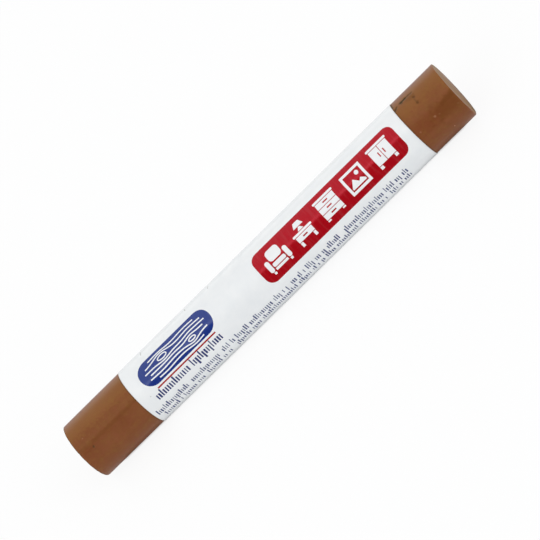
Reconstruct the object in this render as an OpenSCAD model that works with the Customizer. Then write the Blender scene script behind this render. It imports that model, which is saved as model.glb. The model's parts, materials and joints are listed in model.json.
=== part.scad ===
// Furniture repair wax stick: a solid wax bar in a wrapped label.
// The stick lies along X on the plane z = 0, with its middle over the origin.
// Its foot end is at -X and its head end at +X. Millimetres.

/* [Wax stick] */
// Diameter of the wax bar
stick_d = 12.7; // [8:0.1:20]
// Length of the wax bar along its axis
stick_len = 99.2; // [70:0.1:140]
// Radius of the rounded rim at both ends
rim_r = 0.45; // [0.2:0.05:1]
// Angle by which both parallel end cuts are off square, in degrees
cut_lean = 1.8; // [0:0.1:4]
// Direction that the head end's face leans to, in degrees from +Y towards +Z
cut_lean_dir = 220; // [0:5:355]

/* [Label] */
// Bare wax between the foot end and the label
foot_bare = 15.4; // [5:0.1:25]
// Bare wax between the label and the head end
head_bare = 10.7; // [5:0.1:20]
// Thickness of the printed film
film_t = 0.07; // [0.05:0.01:0.2]
// Thickness of the adhesive coat under the film
adhesive_t = 0.025; // [0.02:0.005:0.05]
// Direction of the label's inner edge, in degrees from +Y towards +Z
seam_dir = -62; // [-70:1:170]
// Length of label that laps over the inner edge
lap_w = 5; // [2:0.5:8]
// Length over which the label climbs onto its own inner edge
climb_w = 0.7; // [0.5:0.1:1.5]

/* [Hidden] */

stick_r = stick_d / 2;
label_t = adhesive_t + film_t;
label_r = stick_r + label_t;
label_start = foot_bare - stick_len / 2;
label_len = stick_len - foot_bare - head_bare;

// Room between the bar's side and the widest part of the end forms
rim_margin = 0.01;
// The bar's leaned cut is an ellipse that drifts sideways over the rim's depth
rim_reach = stick_r / cos(cut_lean) + rim_r * tan(cut_lean) + rim_margin;

// The climb reaches this far into the arcs that it joins, and stays in from their faces
climb_tie = 0.01;
climb_inset = 0.003;

wax_colour = [0.49, 0.30, 0.18];
film_colour = [0.92, 0.93, 0.93];
adhesive_colour = [0.87, 0.85, 0.78];

// Enough sides for true round surfaces
$fn = 96;

// Angle that an arc of the given length takes up at the label's outside
function label_angle(arc) = arc / label_r * 180 / PI;
function polar(r, dir) = r * [cos(dir), sin(dir)];

// Lays a shape drawn along Z into the stick's place along X
module along_stick() {
    translate([0, 0, label_r]) rotate([90, 0, 90]) children();
}

// What an end cut leaves of the bar: a leaned flat face with a rounded rim, facing up,
// or turned over to face down
module end_form(turn) {
    rotate([0, cut_lean + turn, cut_lean_dir]) rotate_extrude() {
        translate([rim_reach - rim_r, -rim_r]) intersection() {
            circle(rim_r);
            square(rim_r);
        }
        translate([0, -rim_r]) square([rim_reach - rim_r, rim_r]);
        translate([0, -2 * stick_len]) square([2 * stick_d, 2 * stick_len - rim_r]);
    }
}

module wax_stick() {
    color(wax_colour) along_stick() intersection() {
        translate([0, 0, -stick_len]) cylinder(r = stick_r, h = 2 * stick_len);
        translate([0, 0, stick_len / 2]) end_form(turn = 0);
        translate([0, 0, -stick_len / 2]) end_form(turn = 180);
    }
}

// A stretch of label round the bar, from one direction to another
module label_arc(inner_r, t, from, to) {
    rotate_extrude(start = from, angle = to - from)
        translate([inner_r, 0]) square([t, label_len]);
}

// One layer of the label: once round from its inner edge, a climb, and the lap over that edge
module wrap_layer(inner_r, t) {
    lap_r = inner_r + label_t;
    climb_to = seam_dir + 360;
    climb_from = climb_to - label_angle(climb_w);
    tie = label_angle(climb_tie);
    translate([0, 0, label_start]) {
        label_arc(inner_r, t, seam_dir, climb_from + tie);
        linear_extrude(label_len) polygon([
            polar(inner_r + climb_inset, climb_from),
            polar(inner_r + t - climb_inset, climb_from),
            polar(lap_r + t - climb_inset, climb_to),
            polar(lap_r + climb_inset, climb_to)
        ]);
        label_arc(lap_r, t, climb_to - tie, climb_to + label_angle(lap_w));
    }
}

module label_adhesive() {
    color(adhesive_colour) along_stick() wrap_layer(stick_r, adhesive_t);
}

module label_film() {
    color(film_colour) along_stick() wrap_layer(stick_r + adhesive_t, film_t);
}

wax_stick();
label_adhesive();
label_film();
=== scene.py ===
import json
import math
from types import SimpleNamespace

import bmesh
import bpy
import numpy as np
from mathutils import Matrix, Vector, noise


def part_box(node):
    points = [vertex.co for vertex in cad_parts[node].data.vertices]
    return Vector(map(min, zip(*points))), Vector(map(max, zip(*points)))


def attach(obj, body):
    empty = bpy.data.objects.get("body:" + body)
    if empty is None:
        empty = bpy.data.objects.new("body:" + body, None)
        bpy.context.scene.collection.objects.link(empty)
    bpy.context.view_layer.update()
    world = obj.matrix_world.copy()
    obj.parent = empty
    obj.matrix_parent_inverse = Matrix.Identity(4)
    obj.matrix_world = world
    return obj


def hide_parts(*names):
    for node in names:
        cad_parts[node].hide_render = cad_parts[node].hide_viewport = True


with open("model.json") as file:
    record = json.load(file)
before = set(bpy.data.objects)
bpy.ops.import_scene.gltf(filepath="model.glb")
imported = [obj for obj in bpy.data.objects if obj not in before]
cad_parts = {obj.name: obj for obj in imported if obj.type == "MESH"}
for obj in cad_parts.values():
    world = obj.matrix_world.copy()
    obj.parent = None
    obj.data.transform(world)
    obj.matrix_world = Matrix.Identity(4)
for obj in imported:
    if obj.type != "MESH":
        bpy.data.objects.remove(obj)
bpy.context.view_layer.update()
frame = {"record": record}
mm = 0.001

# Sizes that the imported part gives
mounts = {m["name"]: m for m in frame["record"]["mounts"]}
waxLow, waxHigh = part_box("wax_stick")
barRadius = (waxHigh.z - waxLow.z) / 2
footPoint = Vector(mounts["foot_face"]["pos_m"])
headPoint = Vector(mounts["head_face"]["pos_m"])
cutNormal = Vector(mounts["head_face"]["axis"])
axisHeight = headPoint.z
labelRadius = mounts["label_grip"]["dims"]["r_mm"] * mm
labelLength = mounts["label_grip"]["dims"]["length_mm"] * mm
labelMiddle = mounts["label_grip"]["pos_m"][0]
frontAngle = math.radians(130)  # side of the stick that faces the camera, from +Y towards +Z
print("frame loaded, bar radius", round(barRadius / mm, 3), "mm")


# Sets or links a node's inputs
def feed(tree, node, inputs):
    for key, value in inputs.items():
        if isinstance(value, bpy.types.NodeSocket):
            tree.links.new(value, node.inputs[key])
        else:
            node.inputs[key].default_value = value


# Adds a node with its properties and inputs
def put(tree, kind, inputs=None, **settings):
    node = tree.nodes.new(kind)
    for key, value in settings.items():
        setattr(node, key, value)
    feed(tree, node, inputs or {})
    return node


def math2(tree, operation, a, b=0.0):
    return put(tree, "ShaderNodeMath", {0: a, 1: b}, operation=operation).outputs[0]


def plus(tree, a, b):
    return math2(tree, "ADD", a, b)


def minus(tree, a, b):
    return math2(tree, "SUBTRACT", a, b)


def times(tree, a, b):
    return math2(tree, "MULTIPLY", a, b)


def ranged(tree, value, fromLow, fromHigh, toLow=0.0, toHigh=1.0, ease="LINEAR"):
    sockets = {"Value": value, "From Min": fromLow, "From Max": fromHigh, "To Min": toLow, "To Max": toHigh}
    return put(tree, "ShaderNodeMapRange", sockets, interpolation_type=ease).outputs["Result"]


def blended(tree, factor, a, b):
    return put(tree, "ShaderNodeMix", {0: factor, 6: a, 7: b}, data_type="RGBA").outputs[2]


def vector(tree, x=0.0, y=0.0, z=0.0):
    return put(tree, "ShaderNodeCombineXYZ", {"X": x, "Y": y, "Z": z}).outputs[0]


def srgb(r, g, b):
    def linear(c):
        c /= 255
        return c / 12.92 if c <= 0.04045 else ((c + 0.055) / 1.055) ** 2.4
    return (linear(r), linear(g), linear(b), 1.0)


def clearedTree(owner):
    owner.use_nodes = True
    owner.node_tree.nodes.clear()
    return owner.node_tree


def addObject(name, data):
    made = bpy.data.objects.new(name, data)
    bpy.context.scene.collection.objects.link(made)
    return made


def newMaterial(name):
    made = bpy.data.materials.new(name)
    tree = clearedTree(made)
    shader = tree.nodes.new("ShaderNodeBsdfPrincipled")
    put(tree, "ShaderNodeOutputMaterial", {"Surface": shader.outputs[0]})
    place = put(tree, "ShaderNodeTexCoord").outputs["Object"]
    return made, tree, shader, place


noiseSpan = (0.3, 0.7)  # where most of a noise's values lie


def fineNoise(tree, place, scale, detail=3.0, rough=0.55):
    sockets = {"Vector": place, "Scale": scale, "Detail": detail, "Roughness": rough}
    return put(tree, "ShaderNodeTexNoise", sockets).outputs["Fac"]


# Cells for scattered specks: the distance from each cell's point, and a number for each cell
def speckCells(tree, place, scale):
    cells = put(tree, "ShaderNodeTexVoronoi", {"Vector": place, "Scale": scale})
    pick = put(tree, "ShaderNodeSeparateColor", {"Color": cells.outputs["Color"]})
    return cells.outputs["Distance"], pick.outputs[0]


# Gives a shader its roughness, bump and gloss
def setSurface(tree, shader, look, rough, height, gloss, tint):
    bump = put(tree, "ShaderNodeBump", {"Height": height, "Strength": look.bump,
                                        "Distance": look.bumpHeight})
    feed(tree, shader, {"Roughness": rough, "Normal": bump.outputs[0], "IOR": look.ior,
                        "Specular IOR Level": gloss, "Specular Tint": tint})


# Brown wax: soft clouds, drawn streaks, dust specks, and soil, painted light and painted shade where the
# mesh says
waxTones = {
    "deep": srgb(114, 61, 34),
    "body": srgb(120, 67, 40),
    "warm": srgb(132, 81, 47),
    "olive": srgb(125, 81, 41),
    "rosy": srgb(126, 69, 46),
    # tone of stains, also laid on as painted shade along the foot's groove
    "stain": srgb(100, 55, 22),
    "cut": srgb(129, 95, 53),
    "cutDark": srgb(108, 72, 36),
    # dark tone of dirt, also laid on as painted shade at the rims, the label's edges and its corner
    "grime": srgb(50, 42, 24),
    "fleck": srgb(172, 128, 98),
    # painted light: lighter tone of the upper side that faces the lights
    "faded": srgb(138, 93, 47),
}
waxLook = SimpleNamespace(
    # Scale and detail of each noise
    noises={"clouds": (170, 3.0), "streaks": (900, 2.0), "grain": (2600, 2.0), "mottle": (780, 2.0)},
    streakDraw=(0.06, 1.0, 1.0),
    evenness=0.52,  # share of the body colour over the clouds
    layers=[        # noise, where it starts and is full, strength and colour
        ("streaks", 0.45, 0.75, 0.25, "warm"),
        ("streaks", 0.45, 0.25, 0.3, "deep"),
        ("grain", 0.35, 0.65, 0.12, "deep"),
        ("mottle", 0.5, 0.7, 0.45, "olive"),
        ("mottle", 0.5, 0.3, 0.45, "rosy"),
    ],
    speckScale=620.0,
    speckSize=(0.10, 0.05),
    specks=[("GREATER_THAN", 0.93, "fleck"), ("LESS_THAN", 0.06, "grime")],  # which cells, and colour
    dragTurn=0.6,
    dragDraw=(1.0, 16.0, 1.0),
    dragScale=2400,
    dragSpan=(0.35, 0.65),
    cutEvenness=0.7,
    cutShare=0.85,
    roughness=(0.30, 0.39),
    rougher={"cut": 0.15, "grime": 0.35},
    streakHeight=1.5,
    bump=0.25,
    bumpHeight=0.03 * mm,
    gloss=0.30,
    glossTint=(1.0, 0.88, 0.45, 1.0),
    ior=1.44,
)
# kinds of soil, painted light and painted shade that the mesh carries
shadingAndSoilKinds = ("faded", "stain", "fleck", "grime")


def makeWax():
    made, tree, shader, place = newMaterial("brownWax")
    drawn = put(tree, "ShaderNodeMapping", {"Vector": place, "Scale": waxLook.streakDraw}).outputs[0]
    noises = {}
    for name, (scale, detail) in waxLook.noises.items():
        noises[name] = fineNoise(tree, drawn if name == "streaks" else place, scale, detail)
    colour = blended(tree, ranged(tree, noises["clouds"], *noiseSpan), waxTones["deep"], waxTones["warm"])
    colour = blended(tree, waxLook.evenness, colour, waxTones["body"])
    for name, start, full, strength, tone in waxLook.layers:
        amount = ranged(tree, noises[name], start, full, 0.0, strength)
        colour = blended(tree, amount, colour, waxTones[tone])
    # Sparse specks of dust, each in a cell of its own
    apart, pick = speckCells(tree, place, waxLook.speckScale)
    near = ranged(tree, apart, *waxLook.speckSize)
    for operation, limit, tone in waxLook.specks:
        amount = times(tree, near, math2(tree, operation, pick, limit))
        colour = blended(tree, amount, colour, waxTones[tone])
    # The cut ends are paler, with lines where the blade dragged
    turned = put(tree, "ShaderNodeMapping", {"Vector": place, "Rotation": (waxLook.dragTurn, 0, 0),
                                             "Scale": waxLook.dragDraw}, vector_type="TEXTURE").outputs[0]
    drag = ranged(tree, fineNoise(tree, turned, waxLook.dragScale), *waxLook.dragSpan)
    cutTone = blended(tree, drag, waxTones["cutDark"], waxTones["cut"])
    cutTone = blended(tree, waxLook.cutEvenness, cutTone, waxTones["cut"])
    soilAndShading = {}
    for kind in ("cut", *shadingAndSoilKinds):
        soilAndShading[kind] = put(tree, "ShaderNodeAttribute", attribute_name=kind).outputs["Fac"]
    colour = blended(tree, times(tree, soilAndShading["cut"], waxLook.cutShare), colour, cutTone)
    for kind in shadingAndSoilKinds:
        colour = blended(tree, soilAndShading[kind], colour, waxTones[kind])
    rough = ranged(tree, noises["clouds"], *noiseSpan, *waxLook.roughness)
    for kind, rougher in waxLook.rougher.items():
        rough = plus(tree, rough, times(tree, soilAndShading[kind], rougher))
    lines = times(tree, noises["streaks"], waxLook.streakHeight)
    height = plus(tree, noises["grain"], lines)
    setSurface(tree, shader, waxLook, rough, height, waxLook.gloss, waxLook.glossTint)
    feed(tree, shader, {"Base Color": colour})
    return made


# Semi-gloss white film: faint mottling, a little handling dirt at its cut edges
filmLook = SimpleNamespace(
    white=srgb(235, 237, 238),
    shade=srgb(229, 232, 234),
    mottleScale=350,
    dirt=srgb(140, 122, 104),
    dirtScale=1500,
    edge=0.3 * mm,
    edgeDirt=0.3,
    speckScale=260.0,
    speckSize=(0.05, 0.02),
    speckAbove=0.9,
    speckDirt=0.35,
    streakScale=1800,
    streakDraw=(1.0, 0.12, 0.12),
    peelScale=900,
    roughness=(0.10, 0.22),
    bump=0.12,
    bumpHeight=0.02 * mm,
    gloss=0.18,
    ior=1.46,
)


def filmSurface(tree, shader, place, gloss=filmLook.gloss, tint=(1.0, 1.0, 1.0, 1.0)):
    around = put(tree, "ShaderNodeMapping", {"Vector": place, "Scale": filmLook.streakDraw}).outputs[0]
    streaks = fineNoise(tree, around, filmLook.streakScale, 2.0)
    peel = plus(tree, fineNoise(tree, place, filmLook.peelScale, 2.0), streaks)
    rough = ranged(tree, streaks, *noiseSpan, *filmLook.roughness)
    setSurface(tree, shader, filmLook, rough, peel, gloss, tint)
    return streaks


def makeFilm():
    made, tree, shader, place = newMaterial("whiteFilm")
    mottle = ranged(tree, fineNoise(tree, place, filmLook.mottleScale), *noiseSpan)
    colour = blended(tree, mottle, filmLook.white, filmLook.shade)
    along = put(tree, "ShaderNodeSeparateXYZ", {"Vector": place}).outputs["X"]
    fromMiddle = math2(tree, "ABSOLUTE", minus(tree, along, labelMiddle))
    half = labelLength / 2
    edge = ranged(tree, fromMiddle, half - filmLook.edge, half, 0.0, filmLook.edgeDirt)
    dirt = times(tree, edge, fineNoise(tree, place, filmLook.dirtScale))
    colour = blended(tree, dirt, colour, filmLook.dirt)
    apart, pick = speckCells(tree, place, filmLook.speckScale)
    near = ranged(tree, apart, *filmLook.speckSize, 0.0, filmLook.speckDirt)
    speck = times(tree, near, math2(tree, "GREATER_THAN", pick, filmLook.speckAbove))
    feed(tree, shader, {"Base Color": blended(tree, speck, colour, filmLook.dirt)})
    filmSurface(tree, shader, place)
    return made


# Printing ink: takes the film's gloss, with the slight mottle of a printed solid and pale streaks that paint
# a streaky highlight
inkLook = SimpleNamespace(
    mottleScale=1400,
    deepShare=0.8,
    sheenStreakSpan=(0.5, 0.7),
    paleShare=0.9,
    paleLift=0.04,
)


def makeInk(name, colour, mottle=0.12, sheenStreaks=0.0, **surface):
    made, tree, shader, place = newMaterial(name)
    deep = tuple(c * inkLook.deepShare for c in colour[:3]) + (1.0,)
    pale = tuple(c * inkLook.paleShare + inkLook.paleLift for c in colour[:3]) + (1.0,)
    clouds = fineNoise(tree, place, inkLook.mottleScale, 4.0)
    solid = blended(tree, ranged(tree, clouds, *noiseSpan, 0.0, 2 * mottle), colour, deep)
    streaks = filmSurface(tree, shader, place, **surface)
    # pale streaks: a painted highlight along the film's ripples
    solid = blended(tree, ranged(tree, streaks, *inkLook.sheenStreakSpan, 0.0, sheenStreaks), solid, pale)
    feed(tree, shader, {"Base Color": solid})
    return made


# Tacky coat under the film, seen only as a line at the label's edges
adhesiveLook = SimpleNamespace(
    pale=srgb(150, 128, 100),
    dark=srgb(92, 72, 50),
    blotchScale=1800,
    tackScale=700,
    roughness=(0.35, 0.6),
)


def makeAdhesive():
    made, tree, shader, place = newMaterial("tackyCoat")
    blotches = fineNoise(tree, place, adhesiveLook.blotchScale)
    tack = fineNoise(tree, place, adhesiveLook.tackScale)
    feed(tree, shader, {"Base Color": blended(tree, blotches, adhesiveLook.pale, adhesiveLook.dark),
                        "Roughness": ranged(tree, tack, *noiseSpan, *adhesiveLook.roughness)})
    return made


waxMaterial = makeWax()
filmMaterial = makeFilm()
adhesiveMaterial = makeAdhesive()
redInk = makeInk("redInk", srgb(164, 12, 24), sheenStreaks=0.3, gloss=1.0, tint=(1.0, 0.16, 0.22, 1.0))
blueInk = makeInk("blueInk", srgb(28, 50, 126), sheenStreaks=0.2, gloss=0.5, tint=(0.85, 0.92, 1.0, 1.0))
navyInk = makeInk("navyInk", srgb(48, 56, 108))
slateInk = makeInk("slateInk", srgb(62, 71, 116))
scuffTone = makeInk("scuffTone", srgb(194, 195, 193), 0.2)
paleInk = makeInk("paleInk", srgb(234, 236, 238), 0.03)
print("materials ready")

# The wax bar: its rings, worn rims, cut faces and surface
waxBar = SimpleNamespace(
    sides=256,
    ringStep=0.17 * mm,
    underLabelRings=6,
    rimRings=9,
    faceRings=18,
    rimSharp=0.13 * mm,
    rimWorn=0.42 * mm,
    wornSide=math.radians(240),
    wornTaper=2.2,
    rimCircle=6,           # mm, the circle on which the noise of the rims is read
    rimChips=0.2 * mm,
    uneven=0.03 * mm,
    drag=0.008 * mm,
    dragDraw=0.05,
    fineRunOn=1.0 * mm,    # how far the fine rings run on under the label
    sawMarks=0.03 * mm,
    sawPitch=0.28 * mm,
    sawWander=1.5,
    # dark band beside the label's edges: dirt and a painted shadow of the edge
    edgeDirtAndShadow=0.35 * mm,
    edgeBlotches=(0.45, 0.35),  # mean and swing
    markEdge=1.3,
    markRagged=0.5,
    stainRagged=0.8,
    paleNear=(5.8, 3.4),   # mm from the axis to where the pale part of a cut ends, above and below
    paleFar=-3.2,          # and on the side away from the front, beyond which the face keeps the darker body colour as painted shade
    paleFade=(0.8, 2.0),   # mm over which it fades there, near and far
    paleRagged=0.6,
    faceInset=0.012 * mm,
    # Rims are darkened by dirt and by painted shade; on the head most on the far, lower side
    rimDirtAndShade={"foot": 0.4, "head": 0.75},
    rimDarkReach={"foot": 1.2 * mm, "head": 3.0 * mm},
    rimDarkPatches=(0.85, 0.6),  # mean and swing
    headDirtAndShadeAway=(0.5, 2.0),     # level and slope, away from the front
    headDirtAndShadeLow=(1.25, 1.3),     # and towards the floor
)
waxNoise = {  # scale and seed
    "footChips": (1.6, 1),
    "headChips": (1.6, 2),
    "saw": (600, 3),
    "waves": (190, 4),
    "drawn": (1300, 5),
    "fine": (2200, 6),
    "coarse": (750, 7),
    "labelEdge": (700, 8),
    "paleEdge": (500, 9),
    "darkPatches": (0.9, 10),
}


# A mark runs from start to stop, each in mm from its end of the bar and degrees down from the front.
# Its width and depth are in mm, and each kind of soil, painted light or painted shade in it is a share
def waxMark(end, start, stop, width, depth=0.0, **soilAndShading):
    return SimpleNamespace(end=end, ends=(start, stop), width=width, depth=depth, soilAndShading=soilAndShading)


waxMarks = {
    "scrape start": waxMark("head", (8.8, -55), (7.5, -55.4), 0.62, 0.05, grime=1.0),
    "scrape tail": waxMark("head", (7.5, -55.4), (5.9, -55), 0.45, 0.04, grime=0.6),
    "scrape blot": waxMark("head", (8.8, -51.5), (8.5, -50.5), 0.5, 0.02, stain=0.8),
    "scrape smear": waxMark("head", (7.4, -51), (6.6, -49), 1.3, stain=0.4),
    "nick": waxMark("head", (6.2, -43.4), (6.05, -42), 0.62, 0.08, stain=1.0, grime=0.25),
    "nick smear": waxMark("head", (7.0, -45), (6.2, -43), 0.9, stain=0.35),
    "short scrape": waxMark("head", (6.3, -38), (6.3, -29), 0.34, 0.03, grime=0.3),
    "scrape foot": waxMark("head", (6.3, -29), (6.2, -27.4), 0.5, 0.04, stain=0.95, grime=0.3),
    "edge nick": waxMark("head", (9.8, -54), (10.5, -48.5), 0.42, 0.05, stain=0.8, grime=0.6),
    # painted shadow at the corner of the label's edge
    "corner shadow": waxMark("head", (10.6, -78), (10.6, -60), 0.5, grime=0.8),
    "dark streak": waxMark("head", (0.3, 2), (3.0, 3), 1.5, 0.01, stain=0.7),
    "thumb stain": waxMark("head", (0.6, 14), (4.0, 11), 4.4, 0.02, stain=0.5),
    "low stain": waxMark("head", (0.6, 27), (2.8, 25), 3.0, 0.01, stain=0.26),
    "dust": waxMark("head", (0.9, 22), (0.85, 22.4), 0.3, fleck=0.16),
    "more dust": waxMark("head", (4.8, 12.3), (4.7, 12.8), 0.3, fleck=0.16),
    "pale crumb": waxMark("head", (5.7, 9.8), (5.6, 10.2), 0.4, fleck=0.5),
    "small crumb": waxMark("head", (9.65, 12.5), (9.6, 12.5), 0.34, fleck=0.35),
    # A shallow groove along the foot, with painted shade along it and below it where the highlight ends
    "shaded groove": waxMark("foot", (15.4, -2.8), (4.0, -3.6), 1.0, 0.015, stain=0.4),
    "shaded groove end": waxMark("foot", (4.0, -3.6), (0.6, -5.0), 1.2, 0.01, stain=0.25),
    "painted lower shade": waxMark("foot", (15.4, 5), (1.0, 4), 2.4, stain=0.14),
    "pit": waxMark("foot", (3.2, 2.8), (3.1, 3.6), 0.36, 0.07, grime=0.75),
    "foot crumb": waxMark("foot", (2.6, -20.5), (2.55, -20.5), 0.34, fleck=0.4),
    "bloom": waxMark("foot", (0.3, 14), (15.4, 14), 2.8, fleck=0.06),
    # Lighter golden bands painted along the upper side that faces the lights
    "faded head": waxMark("head", (0.3, -47), (10.7, -45), 6.0, faded=0.4),
    "faded foot": waxMark("foot", (0.3, -50), (15.4, -48), 5.6, faded=0.4),
    "back scrape": waxMark("foot", (6.0, 150), (10.5, 158), 0.4, 0.05, grime=0.5),
    "back dent": waxMark("head", (4.4, 165), (5.2, 160), 0.9, 0.10, grime=0.25),
    "low scrape": waxMark("foot", (11.5, -120), (8.2, -112), 0.3, 0.04, grime=0.6),
}


# Ends a builder, with its faces outward
def closeMesh(builder, mesh):
    bmesh.ops.recalc_face_normals(builder, faces=builder.faces)
    builder.to_mesh(mesh)
    builder.free()


# Distance from points on the unrolled bar to a mark's line
def markDistance(x, angle, mark):
    endX, inward = (headPoint.x, -1) if mark.end == "head" else (footPoint.x, 1)
    ends = []
    for fromEnd, degrees in mark.ends:
        ends.append((endX + inward * fromEnd * mm, frontAngle + math.radians(degrees)))
    (ax, aa), (bx, ba) = ends
    aroundA = (angle - aa + np.pi) % (2 * np.pi) - np.pi
    px, py = x - ax, aroundA * barRadius
    dx, dy = bx - ax, (ba - aa) * barRadius
    share = np.clip((px * dx + py * dy) / max(dx * dx + dy * dy, 1e-12), 0, 1)
    return np.hypot(px - share * dx, py - share * dy)


def noiseAt(x, y, z, scale, seed):
    shift = Vector((seed * 7.3, seed * 3.1, seed * 5.7))
    flat = zip(x.ravel(), y.ravel(), z.ravel())
    return np.array([noise.noise(Vector(p) * scale + shift) for p in flat]).reshape(x.shape)


# x of an end's cut plane at a radius and an angle
def cutPlane(point, radius, angle):
    lean = cutNormal.y * radius * np.cos(angle) + cutNormal.z * radius * np.sin(angle)
    return point.x - lean / cutNormal.x - math.copysign(waxBar.faceInset, point.x)


def makeWaxBar():
    sides = waxBar.sides
    angle = np.linspace(0, 2 * np.pi, sides, endpoint=False)
    fromFront = angle - frontAngle
    worn = (0.5 + 0.5 * np.cos(angle - waxBar.wornSide)) ** waxBar.wornTaper
    circle = (np.zeros(sides), np.cos(angle) * waxBar.rimCircle, np.sin(angle) * waxBar.rimCircle)
    rims = {}
    for end in ("foot", "head"):
        chips = np.maximum(noiseAt(*circle, *waxNoise[end + "Chips"]), 0) * waxBar.rimChips
        rims[end] = waxBar.rimSharp + (waxBar.rimWorn - waxBar.rimSharp) * worn + chips

    # A ring is x, radius, how much it is cut face, how pale it is, and how dark its dirt and painted shade
    # make it, all by angle
    def endRings(end, point, outward):
        made = []
        rim = rims[end]
        upper, lower = waxBar.paleNear
        nearFade, farFade = waxBar.paleFade
        dirtAndShadeSide = np.ones(sides)
        if end == "head":  # dirt and painted shade only on the side away from the front, least at its top and most towards the floor
            level, slope = waxBar.headDirtAndShadeAway
            away = np.clip(level - slope * np.cos(fromFront), 0, 1)
            level, slope = waxBar.headDirtAndShadeLow
            dirtAndShadeSide = away * np.clip(level + slope * np.sin(fromFront), 0, 1)
        # Rims darken in patches: dirt, and painted shade where the rim turns away from the light
        mean, swing = waxBar.rimDarkPatches
        patches = mean + swing * noiseAt(*circle, *waxNoise["darkPatches"])
        dirt = waxBar.rimDirtAndShade[end] * np.clip(dirtAndShadeSide * patches, 0, 1)
        darkReach = waxBar.rimDarkReach[end]
        for step in range(1, waxBar.faceRings + 1):
            radius = (barRadius - rim) * step / waxBar.faceRings
            spot = (np.full(sides, point.x), radius * np.cos(angle), radius * np.sin(angle))
            ragged = waxBar.paleRagged * noiseAt(*spot, *waxNoise["paleEdge"])
            near = radius * np.cos(fromFront) / mm + ragged
            low = radius * np.sin(fromFront) / barRadius
            limit = (upper + lower) / 2 + (lower - upper) / 2 * low
            farPale = np.clip(0.5 + (near - waxBar.paleFar) / farFade, 0, 1)
            pale = np.clip(0.5 + (limit - near) / nearFade, 0, 1) * farPale
            across = np.cos(angle - waxLook.dragTurn) * radius
            wander = waxBar.sawWander * noiseAt(*spot, *waxNoise["saw"])
            saw = 0.5 + 0.5 * np.sin(across / waxBar.sawPitch + wander)
            edge = np.clip((radius - barRadius + darkReach) / darkReach, 0, 1)
            x = cutPlane(point, radius, angle) - outward * waxBar.sawMarks * saw
            made.append((x, radius, np.ones(sides), pale, dirt * edge))
        for step in range(1, waxBar.rimRings):
            turn = math.pi / 2 * step / waxBar.rimRings
            radius = barRadius - rim * (1 - math.sin(turn))
            x = cutPlane(point, radius, angle) - outward * rim * (1 - math.cos(turn))
            made.append((x, radius, np.full(sides, math.cos(turn) ** 4), pale * math.cos(turn) ** 8, dirt))
        return made

    footSide = cutPlane(footPoint, barRadius, angle) + rims["foot"]
    headSide = cutPlane(headPoint, barRadius, angle) - rims["head"]
    labelEdges = (labelMiddle - labelLength / 2, labelMiddle + labelLength / 2)
    footFine = labelEdges[0] + waxBar.fineRunOn
    headFine = labelEdges[1] - waxBar.fineRunOn
    stops = np.concatenate([
        np.arange(footPoint.x, footFine, waxBar.ringStep),
        np.linspace(footFine, headFine, waxBar.underLabelRings),
        np.arange(headPoint.x, headFine, -waxBar.ringStep)[::-1],
    ])
    rings = endRings("foot", footPoint, -1)
    for share in (stops - footPoint.x) / (headPoint.x - footPoint.x):
        x = footSide + (headSide - footSide) * share
        rings.append((x, np.full(sides, barRadius), np.zeros(sides), np.zeros(sides), np.zeros(sides)))
    rings += endRings("head", headPoint, 1)[::-1]

    x, radius, face, cut, dirt = np.array(rings).transpose(1, 0, 2)
    side = 1 - face
    around = np.broadcast_to(angle, x.shape)
    y, z = np.cos(around) * barRadius, np.sin(around) * barRadius
    # Everything is taken off the bar, so it stays within its nominal size
    waves = 0.5 + 0.5 * noiseAt(x, y, z, *waxNoise["waves"])
    drawn = 0.5 + 0.5 * noiseAt(x * waxBar.dragDraw, y, z, *waxNoise["drawn"])
    taken = side * (waxBar.uneven * waves + waxBar.drag * drawn)
    soilAndShading = {kind: np.zeros(x.shape) for kind in shadingAndSoilKinds}
    # The rims' darkening, dirt and painted shade, starts the dark layer
    soilAndShading["grime"] = dirt
    fine = noiseAt(x, y, z, *waxNoise["fine"])
    coarse = noiseAt(x, y, z, *waxNoise["coarse"])
    for mark in waxMarks.values():
        far = markDistance(x, around, mark) / (mark.width * mm / 2)
        ragged = 1 + waxBar.markRagged * fine
        if "stain" in mark.soilAndShading:
            ragged = ragged + waxBar.stainRagged * coarse
        shape = np.clip(waxBar.markEdge - far * ragged, 0, 1)
        shape = shape * shape * (3 - 2 * shape) * side
        taken += mark.depth * mm * shape
        for kind, amount in mark.soilAndShading.items():
            soilAndShading[kind] = np.maximum(soilAndShading[kind], amount * shape)
    # Along the label's edges the wax is darkened in blotches: dirt, and a painted shadow of the label's edge
    mean, swing = waxBar.edgeBlotches
    blotches = mean + swing * noiseAt(x, y, z, *waxNoise["labelEdge"])
    for edge in labelEdges:
        near = np.clip(1 - np.abs(x - edge) / waxBar.edgeDirtAndShadow, 0, 1)
        soilAndShading["grime"] = np.maximum(soilAndShading["grime"], near * blotches)
    radius = radius - taken

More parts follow.
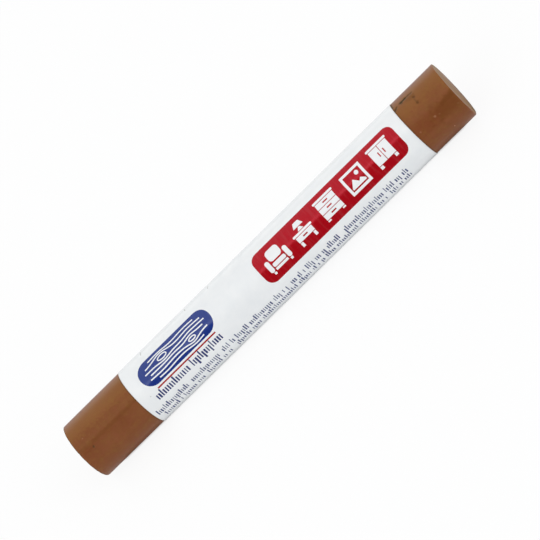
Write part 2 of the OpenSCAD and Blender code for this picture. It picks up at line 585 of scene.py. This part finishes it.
    points = np.stack([x, radius * np.cos(around), axisHeight + radius * np.sin(around)], axis=-1)
    points = points.reshape(-1, 3)
    centres = [(x[0].mean(), 0, axisHeight), (x[-1].mean(), 0, axisHeight)]
    first, last = len(points), len(points) + 1
    lastRing = (len(rings) - 1) * sides
    pairs = [(i, (i + 1) % sides) for i in range(sides)]
    faces = []
    for low in range(0, lastRing, sides):
        high = low + sides
        faces += [(low + i, low + j, high + j, high + i) for i, j in pairs]
    for i, j in pairs:
        faces += [(first, j, i), (last, lastRing + i, lastRing + j)]
    mesh = bpy.data.meshes.new("waxBar")
    mesh.from_pydata(points.tolist() + centres, [], faces)
    for name, values in (("cut", cut), *soilAndShading.items()):
        layer = mesh.attributes.new(name, "FLOAT", "POINT")
        ends = [1.0, 1.0] if name == "cut" else [0.0, 0.0]
        layer.data.foreach_set("value", np.concatenate([values.ravel(), ends]).astype(np.float32))
    builder = bmesh.new()
    builder.from_mesh(mesh)
    closeMesh(builder, mesh)
    mesh.polygons.foreach_set("use_smooth", [True] * len(mesh.polygons))
    mesh.materials.append(waxMaterial)
    return addObject("waxBar", mesh)


waxPiece = makeWaxBar()
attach(waxPiece, "root")
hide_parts("wax_stick")
print("wax bar:", len(waxPiece.data.polygons), "faces")

# The label is laid out flat, x along the stick and y up from the front, then wrapped round the bar
label = SimpleNamespace(
    filmThickness=0.07 * mm,
    adhesiveThickness=0.025 * mm,
    inkThickness=0.006 * mm,
    ripple=0.006 * mm,
    rippleScale=140.0,
    slack=0.003 * mm,
    seamAngle=math.radians(-62),
    lap=5.0 * mm,
    climb=0.7 * mm,
    adhesiveSetBack=0.04 * mm,
    stepsAlong=110,
    stepsAround=280,
    cornerAngle=0.6,  # edges that turn more than this stay sharp
)
# Two coats of ink and the ripple fit inside the nominal label
sheetRadius = labelRadius - 2 * label.inkThickness - label.ripple - label.slack
innerEdge = (frontAngle - label.seamAngle) * sheetRadius
outerEdge = innerEdge - 2 * math.pi * sheetRadius - label.lap


def newTree(name, sockets):
    tree = bpy.data.node_groups.new(name, "GeometryNodeTree")
    tree.interface.new_socket("Geometry", in_out="OUTPUT", socket_type="NodeSocketGeometry")
    for kind, names in sockets.items():
        for socket in names:
            tree.interface.new_socket(socket, in_out="INPUT", socket_type="NodeSocket" + kind)
    return tree, tree.nodes.new("NodeGroupInput").outputs, tree.nodes.new("NodeGroupOutput")


# Bends flat geometry round the bar, over the climb and onto the lap
def makeWrapTree():
    sizes = ["Radius", "Axis Height", "Front Angle", "Inner Edge", "Climb", "Lap Rise", "Ripple"]
    tree, give, out = newTree("wrapRoundBar", {"Geometry": ["Geometry"], "Float": sizes})
    flat = put(tree, "GeometryNodeInputPosition").outputs[0]
    xyz = put(tree, "ShaderNodeSeparateXYZ", {0: flat}).outputs
    angle = minus(tree, give["Front Angle"], math2(tree, "DIVIDE", xyz["Y"], give["Radius"]))
    travelled = minus(tree, give["Inner Edge"], xyz["Y"])
    turn = times(tree, give["Radius"], 2 * math.pi)
    climbFrom = minus(tree, turn, give["Climb"])
    rise = ranged(tree, travelled, climbFrom, turn, 0.0, give["Lap Rise"])
    spread = vector(tree, xyz["X"], xyz["Y"])
    waves = put(tree, "ShaderNodeTexNoise", {"Vector": spread, "Scale": label.rippleScale, "Detail": 1.0})
    ripple = times(tree, waves.outputs["Fac"], give["Ripple"])
    reach = plus(tree, give["Radius"], xyz["Z"])
    reach = plus(tree, reach, plus(tree, rise, ripple))
    up = plus(tree, times(tree, reach, math2(tree, "SINE", angle)), give["Axis Height"])
    across = times(tree, reach, math2(tree, "COSINE", angle))
    bent = vector(tree, xyz["X"], across, up)
    moved = put(tree, "GeometryNodeSetPosition", {"Geometry": give["Geometry"], "Position": bent}).outputs[0]
    tree.links.new(moved, out.inputs[0])
    return tree


wrapTree = makeWrapTree()


# Ends a tree: realizes, wraps, shades and sets the material
def wrapAndFinish(tree, out, geometry, material):
    real = put(tree, "GeometryNodeRealizeInstances", {0: geometry}).outputs[0]
    wrap = put(tree, "GeometryNodeGroup", {
        "Geometry": real, "Radius": sheetRadius, "Axis Height": axisHeight, "Front Angle": frontAngle,
        "Inner Edge": innerEdge, "Climb": label.climb, "Ripple": label.ripple,
        "Lap Rise": label.filmThickness + label.adhesiveThickness}, node_tree=wrapTree)
    smooth = put(tree, "GeometryNodeSetShadeSmooth", {"Geometry": wrap.outputs[0]}).outputs[0]
    turn = put(tree, "GeometryNodeInputMeshEdgeAngle").outputs["Unsigned Angle"]
    sharp = math2(tree, "GREATER_THAN", turn, label.cornerAngle)
    creases = {"Geometry": smooth, "Selection": sharp, "Shade Smooth": False}
    smooth = put(tree, "GeometryNodeSetShadeSmooth", creases, domain="EDGE").outputs[0]
    coloured = put(tree, "GeometryNodeSetMaterial", {"Geometry": smooth, "Material": material}).outputs[0]
    tree.links.new(coloured, out.inputs[0])


# Makes a tree, runs it on a mesh and keeps the result as a plain mesh on the root body
def bakePiece(name, makeTree, values, material, mesh=None, replaced=None):
    tree = makeTree(name + "Tree", material)
    piece = addObject(name, mesh or bpy.data.meshes.new(name + "Flat"))
    modifier = piece.modifiers.new("Build", "NODES")
    modifier.node_group = tree
    for socket in tree.interface.items_tree:
        if socket.item_type == "SOCKET" and socket.in_out == "INPUT" and socket.name in values:
            modifier[socket.identifier] = values[socket.name]
    shown = piece.evaluated_get(bpy.context.evaluated_depsgraph_get())
    made = bpy.data.meshes.new_from_object(shown)
    piece.modifiers.clear()
    made.name = name
    made.materials.clear()
    made.materials.append(material)
    piece.data = made
    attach(piece, "root")
    if replaced:
        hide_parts(replaced)
    print(name + ":", len(made.polygons), "faces")


# One layer of the label: a closed flat sheet, wrapped once round and lapped
def makeSheetTree(name, material):
    sizes = ["Length", "Width", "Thickness", "Lift", "Middle X", "Middle Y"]
    tree, give, out = newTree(name, {"Float": sizes, "Int": ["Steps Along", "Steps Around"]})
    size = vector(tree, give["Length"], give["Width"], give["Thickness"])
    sheet = put(tree, "GeometryNodeMeshCube", {"Size": size, "Vertices X": give["Steps Along"],
                                               "Vertices Y": give["Steps Around"], "Vertices Z": 2})
    lift = plus(tree, give["Lift"], times(tree, give["Thickness"], 0.5))
    middle = vector(tree, give["Middle X"], give["Middle Y"], lift)
    placed = put(tree, "GeometryNodeTransform", {"Geometry": sheet.outputs[0], "Translation": middle})
    wrapAndFinish(tree, out, placed.outputs[0], material)
    return tree


filmInner = barRadius + label.adhesiveThickness
filmSheet = {
    "Length": labelLength,
    "Width": innerEdge - outerEdge,
    "Thickness": sheetRadius - filmInner,
    "Lift": filmInner - sheetRadius,
    "Middle X": labelMiddle,
    "Middle Y": (innerEdge + outerEdge) / 2,
    "Steps Along": label.stepsAlong,
    "Steps Around": label.stepsAround,
}
adhesiveSheet = {
    **filmSheet,
    "Length": labelLength - 2 * label.adhesiveSetBack,
    "Thickness": label.adhesiveThickness,
    "Lift": barRadius - sheetRadius,
    "Steps Along": 2,
}
bakePiece("labelFilm", makeSheetTree, filmSheet, filmMaterial, replaced="label_film")
bakePiece("labelAdhesive", makeSheetTree, adhesiveSheet, adhesiveMaterial,
          replaced="label_adhesive")


# Adds a thin closed slab over a grid of flat points, which may have open cells or join up in a ring
def addSlab(builder, grid, bottom, top):
    rows, openCells = grid if isinstance(grid, tuple) else (grid, set())
    columns = len(rows[0]) - (rows[0][0] == rows[0][-1])
    cells = {(r, c) for r in range(len(rows) - 1) for c in range(len(rows[0]) - 1)} - openCells
    corners = {}

    def corner(r, c, height):
        key = (r, c % columns, height)
        if key not in corners:
            corners[key] = builder.verts.new((*rows[r][c % columns], height))
        return corners[key]

    for r, c in sorted(cells):
        loop = [(r, c), (r, c + 1), (r + 1, c + 1), (r + 1, c)]
        beside = [(r - 1, c), (r, (c + 1) % columns), (r + 1, c), (r, (c - 1) % columns)]
        builder.faces.new([corner(*p, top) for p in loop])
        builder.faces.new([corner(*p, bottom) for p in reversed(loop)])
        for a, b, neighbour in zip(loop, loop[1:] + loop[:1], beside):
            if neighbour not in cells:
                wall = (corner(*a, bottom), corner(*b, bottom), corner(*b, top), corner(*a, top))
                builder.faces.new(wall)


printStep = 0.22 * mm   # longest face up the label, so that print follows the curve
columnStep = 0.6 * mm   # and along a panel, which is straight


def steps(length, step=printStep):
    return max(1, math.ceil(abs(length) / step))


# Flat outlines for the print, as grids of points. What they are given is in mm on the flat label
def roundedGrid(cx, cy, w, h, corner):
    arcs = 8
    heights = [h / 2 - corner + corner * math.sin(math.pi / 2 * k / arcs) for k in range(arcs, 0, -1)]
    straight = steps((h - 2 * corner) * mm)
    middle = [(h / 2 - corner) * (1 - 2 * k / straight) for k in range(straight + 1)]
    heights = [-v for v in heights] + middle[::-1] + heights[::-1]
    columns = max(2, steps(w * mm, columnStep))
    grid = []
    for y in heights:
        over = max(0.0, abs(y) - (h / 2 - corner))
        half = w / 2 - corner + math.sqrt(max(0.0, corner * corner - over * over))
        grid.append([((cx + half * (2 * c / columns - 1)) * mm, (cy + y) * mm) for c in range(columns + 1)])
    return grid


def barGrid(x0, y0, x1, y1, width):
    length = math.hypot(x1 - x0, y1 - y0)
    ux, uy = (x1 - x0) / length, (y1 - y0) / length
    along, wide = steps(length * mm), steps(width * mm)
    grid = []
    for w in range(wide + 1):
        off = width * (w / wide - 0.5)
        row = []
        for a in range(along + 1):
            x = x0 + ux * length * a / along - uy * off
            y = y0 + uy * length * a / along + ux * off
            row.append((x * mm, y * mm))
        grid.append(row)
    return grid


def pathGrid(path, width):
    wide = steps(width * mm)
    return [[(x * mm, (y + width * (w / wide - 0.5)) * mm) for x, y in path] for w in range(wide + 1)]


def ringGrid(cx, cy, rx, ry, stroke):
    around = 32
    turns = [2 * math.pi * (k % around) / around for k in range(around + 1)]
    return [[((cx + (rx + off) * math.cos(t)) * mm, (cy + (ry + off) * math.sin(t)) * mm) for t in turns]
            for off in (-stroke / 2, stroke / 2)]


def blockGrid(left, bottom, right, top):
    return barGrid(left, (bottom + top) / 2, right, (bottom + top) / 2, top - bottom)


# Widths at the bottom and top of a tapered form
def taperGrid(cx, bottom, lowWidth, top, highWidth):
    rise = steps((top - bottom) * mm)
    grid = []
    for r in range(rise + 1):
        width = lowWidth + (highWidth - lowWidth) * r / rise
        y = bottom + (top - bottom) * r / rise
        grid.append([((cx + width * k / 4) * mm, y * mm) for k in range(-2, 3)])
    return grid


# A block with a rectangular opening, both as left, bottom, right and top
def holedGrid(block, hole):
    lines = []
    for low, high in ((0, 2), (1, 3)):
        line = [block[low]]
        for stop in (hole[low], hole[high], block[high]):
            start, count = line[-1], steps((stop - line[-1]) * mm)
            line += [start + (stop - start) * k / count for k in range(1, count + 1)]
        lines.append(line)
    across, up = lines
    openCells = set()
    for r in range(len(up) - 1):
        for c in range(len(across) - 1):
            inX = hole[0] < (across[c] + across[c + 1]) / 2 < hole[2]
            inY = hole[1] < (up[r] + up[r + 1]) / 2 < hole[3]
            if inX and inY:
                openCells.add((r, c))
    return [[(x * mm, y * mm) for x in across] for y in up], openCells


def makePrintTree(name, material):
    tree, give, out = newTree(name, {"Geometry": ["Geometry"]})
    wrapAndFinish(tree, out, give["Geometry"], material)
    return tree


# Prints a list of flat outlines in one ink, over the film or over another ink
def printShapes(name, grids, material, coat=1):
    thick = label.inkThickness
    builder = bmesh.new()
    for grid in grids:
        addSlab(builder, grid, (coat - 1) * thick, coat * thick)
    mesh = bpy.data.meshes.new(name + "Flat")
    closeMesh(builder, mesh)
    bakePiece(name, makePrintTree, {}, material, mesh)


# Middle and outline of a rounded panel
def panelOutline(panel):
    x, y = (panel.left + panel.right) / 2, (panel.top + panel.bottom) / 2
    wide, high = panel.right - panel.left, panel.top - panel.bottom
    return x, y, roundedGrid(x, y, wide, high, panel.corner)


# Red panel with a row of plain white furniture signs, in mm on the flat label, each drawn about its middle
redPanel = SimpleNamespace(left=-0.33, right=36.62, top=4.5, bottom=-2.57, corner=1.75, signGap=7.0)


def legPair(x, apart, half, bottom, top):
    return [blockGrid(x + k * apart - half, bottom, x + k * apart + half, top) for k in (-1, 1)]


def armchairSign(x, y):
    grids = [roundedGrid(x, y + 1.05, 3.1, 2.3, 0.75), roundedGrid(x, y - 0.85, 3.1, 0.85, 0.3)]
    grids += [roundedGrid(x + k * 2.3, y - 0.55, 0.95, 2.5, 0.45) for k in (-1, 1)]
    grids += legPair(x, 2.15, 0.25, y - 2.4, y - 1.9)
    return grids + [blockGrid(x - 1.55, y - 1.95, x + 1.55, y - 1.45)]


def nightstandSign(x, y):
    lamp = [taperGrid(x, y + 1.3, 2.4, y + 2.4, 1.3), taperGrid(x, y + 0.5, 1.4, y + 1.18, 0.4)]
    drawer = holedGrid((x - 2.0, y - 1.35, x + 2.0, y - 0.2), (x - 0.55, y - 0.92, x + 0.55, y - 0.64))
    top = roundedGrid(x, y + 0.15, 4.7, 0.45, 0.2)
    return lamp + [top, drawer] + legPair(x, 1.65, 0.3, y - 2.4, y - 1.48)


def chestSign(x, y):
    grids = [roundedGrid(x, y + 2.15, 5.0, 0.5, 0.2)]
    for row in range(3):
        low = y + 0.62 - row * 1.28
        drawer = (x - 2.25, low, x + 2.25, low + 1.15)
        grids.append(holedGrid(drawer, (x - 0.6, low + 0.44, x + 0.6, low + 0.72)))
    return grids + legPair(x, 1.9, 0.35, y - 2.4, y - 2.07)


def pictureSign(x, y):
    across = [x - 1.7 + 3.4 * k / 34 for k in range(35)]
    hills = [max(1.75 - 1.25 * abs(a - x + 0.55), 1.1 - 0.9 * abs(a - x - 0.9), 0.3) for a in across]
    ground = [[(a * mm, (y - 1.4 + hill * k / 8) * mm) for a, hill in zip(across, hills)] for k in range(9)]
    border = holedGrid((x - 2.5, y - 2.25, x + 2.5, y + 2.25), (x - 1.95, y - 1.7, x + 1.95, y + 1.7))
    return [border, ground, roundedGrid(x + 0.95, y + 0.85, 0.9, 0.9, 0.44)]


def wardrobeSign(x, y):
    grids = [roundedGrid(x, y + 2.15, 5.0, 0.5, 0.2)]
    for left, handle in ((x - 2.2, x - 0.75), (x + 0.07, x + 0.5)):
        door = (left, y - 1.6, left + 2.13, y + 1.77)
        grids.append(holedGrid(door, (handle, y - 0.35, handle + 0.25, y + 0.65)))
    return grids + legPair(x, 1.85, 0.35, y - 2.4, y - 1.73)


panelX, panelY, outline = panelOutline(redPanel)
printShapes("redPanel", [outline], redInk)
signs = []
for place, sign in enumerate((armchairSign, nightstandSign, chestSign, pictureSign, wardrobeSign)):
    signs += sign(panelX + (place - 2) * redPanel.signGap, panelY)
printShapes("furnitureSigns", signs, paleInk, coat=2)

# Blue band with pale wood grain that parts round two knots. Knots are x, y from the band's middle, and size
blueBand = SimpleNamespace(
    left=-31.2,
    right=-12.6,
    top=4.9,
    bottom=-0.5,
    corner=2.6,
    knots=[(-24.9, 0.6, 1.0), (-18.2, -0.9, 0.75)],
    # y of each line of grain, and the inset of its ends
    lines={1.725: 3.3, 0.975: 2.0, 0.225: 1.4, -0.525: 2.3, -1.275: 1.7, -2.0: 3.4},
    linePoints=80,
    stroke=0.25,
    wave=0.1,
    waveTurn=0.7,
    knotReach=2.1,
    knotCore=0.38,
    knotFade=0.8,
    knotPush=0.5,
    knotRing=(1.1, 0.42),
    ruleDrop=0.55,
    ruleInset=1.6,
    ruleStroke=0.3,
)
_, bandY, outline = panelOutline(blueBand)
printShapes("blueBand", [outline], blueInk)


def grainWave(x, y):
    return bandY + y + blueBand.wave * math.sin(blueBand.waveTurn * x + y)


def grainLine(y, inset):
    path = []
    points = blueBand.linePoints
    for k in range(points + 1):
        x = blueBand.left + inset + (blueBand.right - blueBand.left - 2 * inset) * k / points
        push = 0
        for knotX, knotY, size in blueBand.knots:
            apart = y - knotY
            beside = (x - knotX) / (blueBand.knotReach * size)
            reach = math.exp(-beside ** 2 - (abs(apart) - blueBand.knotCore) / blueBand.knotFade)
            push += math.copysign(blueBand.knotPush * size * reach, apart)
        path.append((x, grainWave(x, y) + push))
    return pathGrid(path, blueBand.stroke)


grain = [grainLine(y, inset) for y, inset in blueBand.lines.items()]
for knotX, knotY, size in blueBand.knots:
    ring = [share * size for share in blueBand.knotRing]
    grain.append(ringGrid(knotX, grainWave(knotX, knotY), *ring, blueBand.stroke))
printShapes("woodGrain", grain, paleInk, coat=2)
ruleY = blueBand.bottom - blueBand.ruleDrop
ruleEnds = (blueBand.left + blueBand.ruleInset, blueBand.right - blueBand.ruleInset)
printShapes("redRule", [barGrid(ruleEnds[0], ruleY, ruleEnds[1], ruleY, blueBand.ruleStroke)], redInk)

# Small scuffs and specks that the film has picked up, as x, y, length, lean and width
labelScuffs = [(-28.2, 7.6, 1.4, 0.12, 0.16), (-16.2, 7.8, 1.0, -0.1, 0.16), (-9.95, 7.7, 0.9, 0.3, 0.14),
               (-31.75, -1.2, 0.16, 0.05, 0.18)]
scuffs = []
for x, y, long, lean, wide in labelScuffs:
    scuffs.append(barGrid(x - lean / 2, y - long / 2, x + lean / 2, y + long / 2, wide))
printShapes("labelScuffs", scuffs, scuffTone)


# Rows of small blocks that stand where lines of type would be
typeLook = SimpleNamespace(
    tall=0.72,     # blocks that draw more than this, from 0 to 1, reach up
    hanging=0.10,  # and those that draw less than this hang down
    reach=0.5,     # by this share of their height
    widths=(0.55, 1.1),
)


def makeTypeTree(name, material):
    sizes = ["Left", "Top", "Pitch", "Row Gap", "Mark Width", "Mark Height", "Thickness", "Space Chance"]
    tree, give, out = newTree(name, {"Float": sizes, "Int": ["Columns", "Rows", "Seed"]})
    wide = times(tree, minus(tree, give["Columns"], 1.0), give["Pitch"])
    deep = times(tree, minus(tree, give["Rows"], 1.0), give["Row Gap"])
    spots = put(tree, "GeometryNodeMeshGrid", {"Size X": wide, "Size Y": deep, "Vertices X": give["Columns"],
                                               "Vertices Y": give["Rows"]}).outputs[0]
    middleX = plus(tree, give["Left"], times(tree, wide, 0.5))
    middleY = minus(tree, give["Top"], times(tree, deep, 0.5))
    middle = vector(tree, middleX, middleY, times(tree, give["Thickness"], 0.5))
    spots = put(tree, "GeometryNodeTransform", {"Geometry": spots, "Translation": middle}).outputs[0]
    space = put(tree, "FunctionNodeRandomValue", {"Probability": give["Space Chance"], "Seed": give["Seed"]},
                data_type="BOOLEAN").outputs[3]
    kept = put(tree, "GeometryNodeDeleteGeometry", {"Geometry": spots, "Selection": space}).outputs[0]

    def drawFrom(low, high, seedStep):
        values = {2: low, 3: high, "Seed": plus(tree, give["Seed"], seedStep)}
        return put(tree, "FunctionNodeRandomValue", values, data_type="FLOAT").outputs[1]

    # A few blocks reach up or down, as tall and hanging letters do
    drawn = drawFrom(0.0, 1.0, 1.0)
    tall = math2(tree, "GREATER_THAN", drawn, typeLook.tall)
    hanging = math2(tree, "LESS_THAN", drawn, typeLook.hanging)
    extra = times(tree, plus(tree, tall, hanging), typeLook.reach)
    shift = times(tree, minus(tree, tall, hanging), typeLook.reach / 2)
    offset = vector(tree, y=times(tree, shift, give["Mark Height"]))
    kept = put(tree, "GeometryNodeSetPosition", {"Geometry": kept, "Offset": offset}).outputs[0]
    size = vector(tree, give["Mark Width"], give["Mark Height"], give["Thickness"])
    block = put(tree, "GeometryNodeMeshCube", {"Size": size, "Vertices X": 2, "Vertices Y": 5,
                                               "Vertices Z": 2})
    scale = vector(tree, drawFrom(*typeLook.widths, 2.0), plus(tree, 1.0, extra), 1.0)
    marks = put(tree, "GeometryNodeInstanceOnPoints", {"Points": kept, "Instance": block.outputs[0],
                                                       "Scale": scale})
    wrapAndFinish(tree, out, marks.outputs[0], material)
    return tree


# Places and sizes in mm on the flat label
wordRow = {"Top": -2.4, "Rows": 1, "Pitch": 0.58, "Row Gap": 1.0, "Mark Width": 0.36, "Mark Height": 1.15,
           "Space Chance": 0.0}
typeRows = {
    "headWord": {**wordRow, "Left": -30.9, "Columns": 15, "Seed": 3},
    "nextWord": {**wordRow, "Left": -21.6, "Columns": 14, "Seed": 6},
    "useNotes": {"Left": -33.3, "Top": -5.1, "Columns": 145, "Rows": 2, "Pitch": 0.46, "Row Gap": 1.78,
                 "Mark Width": 0.265, "Mark Height": 0.98, "Space Chance": 0.15, "Seed": 11},
    "backNotes": {"Left": -29.0, "Top": 15.1, "Columns": 138, "Rows": 4, "Pitch": 0.43, "Row Gap": 1.45,
                  "Mark Width": 0.25, "Mark Height": 0.76, "Space Chance": 0.16, "Seed": 23},
}
for name, row in typeRows.items():
    values = {"Thickness": label.inkThickness}
    for key, value in row.items():
        values[key] = value if key in ("Columns", "Rows", "Space Chance", "Seed") else value * mm
    ink = navyInk if name.endswith("Word") else slateInk
    bakePiece(name, makeTypeTree, values, ink)

# The camera, from a fit of the stick's outline in the photo
shot = SimpleNamespace(
    distance=627.43 * mm,
    lens=220.4,
    sensor=36,
    clipStart=0.01,
    elevation=math.radians(50),
    turn=0.1561,        # how far the head end is turned to the camera
    imageTurn=math.radians(-44.5),
    imageRoll=-0.0009,
    offCentre=(-0.5574 * mm, 0.0387 * mm),
)


# Two directions, turned in their own plane
def rotated(first, second, angle):
    return (math.cos(angle) * first - math.sin(angle) * second,
            math.sin(angle) * first + math.cos(angle) * second)


def makeCamera():
    facing, below = rotated(Vector((0, -1, 0)), Vector((0, 0, -1)), shot.elevation)
    level, back = rotated(Vector((1, 0, 0)), facing, shot.turn)
    stickLine, crossLine = rotated(level, below, shot.imageRoll)
    right, down = rotated(stickLine, crossLine, shot.imageTurn)
    offX, offY = shot.offCentre
    spot = Vector((0, 0, axisHeight)) + shot.distance * back - offX * stickLine - offY * crossLine
    data = bpy.data.cameras.new("shotCamera")
    data.lens = shot.lens
    data.sensor_width = shot.sensor
    data.clip_start = shot.clipStart
    camera = addObject("shotCamera", data)
    camera.matrix_world = Matrix.Translation(spot) @ Matrix((right, -down, back)).transposed().to_4x4()
    bpy.context.scene.camera = camera


makeCamera()

# Light tent: a panel overhead with a brighter strip at its front, one at the back and one at each side.
# Each has where it hangs, what it faces, its width and height, its radiance and perhaps a colour
lightPanels = [
    ("topPanel", (0, 0.28, 0.7), (0, 0.28, 0), (1.8, 1.24), 0.3),
    ("frontStrip", (0, -0.275, 0.69), (0, -0.275, 0), (1.8, 0.13), 1.2),
    ("backPanel", (0, 0.95, 0.11), (0, 0, axisHeight), (1.9, 0.2), 1.1, (1.0, 0.985, 0.955)),
    ("leftPanel", (-0.72, -0.42, 0.42), (0, 0, 0), (0.9, 0.8), 1.1),
    ("rightPanel", (0.72, -0.42, 0.42), (0, 0, 0), (0.9, 0.8), 1.1),
]
# The light all round, a dark card behind the camera, and the floor
tent = SimpleNamespace(
    world=0.66,
    cardDistance=1.25,
    cardSpan=(math.radians(4), math.radians(63)),
    cardMiddle=-0.19,
    cardWidth=0.95,
    cardTone=srgb(40, 40, 40),
    floorReach=6.0,
    floor=(0.89, 0.9, 0.91),
    floorLift=0.9,
    floorGlossLift=0.1,
    shadowNear=2.3 * mm,
    shadowFar=3.5 * mm,
    shadowInset=4.6 * mm,
    underNear=5.5 * mm,
    underFar=7.2 * mm,
    underShade=0.95,
)


def addPanel(name, spot, aim, size, radiance, colour=(1, 1, 1)):
    data = bpy.data.lights.new(name, "AREA")
    data.shape = "RECTANGLE"
    data.size, data.size_y = size
    data.energy = radiance * math.pi * size[0] * size[1]
    data.color = colour
    panel = addObject(name, data)
    panel.location = spot
    panel.rotation_euler = (Vector(aim) - Vector(spot)).to_track_quat("-Z", "Y").to_euler()


def makeTent():
    for panel in lightPanels:
        addPanel(*panel)
    world = bpy.data.worlds.new("tentWorld")
    bpy.context.scene.world = world
    tree = clearedTree(world)
    seen = put(tree, "ShaderNodeLightPath").outputs
    direct = math2(tree, "MAXIMUM", seen["Is Camera Ray"], seen["Is Glossy Ray"])
    direct = math2(tree, "MAXIMUM", direct, seen["Is Transmission Ray"])
    strength = ranged(tree, direct, 0.0, 1.0, tent.world, 1.0)
    sky = put(tree, "ShaderNodeBackground", {"Color": (1, 1, 1, 1), "Strength": strength})
    put(tree, "ShaderNodeOutputWorld", {"Surface": sky.outputs[0]})


def stageMesh(name, corners, material):
    mesh = bpy.data.meshes.new(name)
    mesh.from_pydata(corners, [], [(0, 1, 2, 3)])
    mesh.materials.append(material)
    piece = addObject(name, mesh)


def makeStage():
    pale = bpy.data.materials.new("paleFloor")
    tree = clearedTree(pale)
    seen = put(tree, "ShaderNodeLightPath").outputs
    direct = math2(tree, "MAXIMUM", seen["Is Camera Ray"], seen["Is Transmission Ray"])
    glow = put(tree, "ShaderNodeEmission", {"Color": (1, 1, 1, 1), "Strength": 1.0})
    mirrored = times(tree, seen["Is Glossy Ray"], tent.floorGlossLift)
    lift = plus(tree, times(tree, direct, tent.floorLift), mirrored)
    # Close to the stick the floor is left as it is lit
    place = put(tree, "ShaderNodeTexCoord").outputs["Object"]
    spot = put(tree, "ShaderNodeSeparateXYZ", {0: place}).outputs
    shadowEnd = headPoint.x - tent.shadowInset
    pastEnd = minus(tree, math2(tree, "ABSOLUTE", spot["X"]), shadowEnd)
    pastEnd = math2(tree, "MAXIMUM", pastEnd, 0.0)
    squares = [times(tree, way, way) for way in (pastEnd, spot["Y"])]
    apart = math2(tree, "SQRT", plus(tree, *squares))
    outside = ranged(tree, apart, tent.shadowNear, tent.shadowFar, ease="SMOOTHSTEP")
    lift = times(tree, lift, outside)
    # Right under the stick the floor is painted dark for glossy rays only: a painted shadow that the wax
    # mirrors
    inward = plus(tree, apart, pastEnd)
    under = ranged(tree, inward, tent.underNear, tent.underFar, tent.underShade, 0.0)
    under = times(tree, seen["Is Glossy Ray"], under)
    tone = blended(tree, under, (*tent.floor, 1.0), (0.0, 0.0, 0.0, 1.0))
    matt = put(tree, "ShaderNodeBsdfDiffuse", {"Color": tone})
    mixed = put(tree, "ShaderNodeMixShader", {0: lift, 1: matt.outputs[0], 2: glow.outputs[0]})
    put(tree, "ShaderNodeOutputMaterial", {"Surface": mixed.outputs[0]})
    reach = tent.floorReach
    corners = [(x * reach, y * reach, 0) for x, y in ((-1, -1), (1, -1), (1, 1), (-1, 1))]
    stageMesh("paleFloor", corners, pale)

    dark, tree, shader, _ = newMaterial("darkCard")
    feed(tree, shader, {"Base Color": tent.cardTone, "Roughness": 1.0})
    away = tent.cardDistance
    low, high = tent.cardSpan
    corners = []
    for side, turn in ((-1, low), (1, low), (1, high), (-1, high)):
        x = tent.cardMiddle + side * tent.cardWidth / 2
        corners.append((x, -away * math.cos(turn), axisHeight + away * math.sin(turn)))
    stageMesh("darkCard", corners, dark)


makeTent()
makeStage()
bpy.context.scene.view_settings.view_transform = "Standard"
print("camera, light and stage ready")
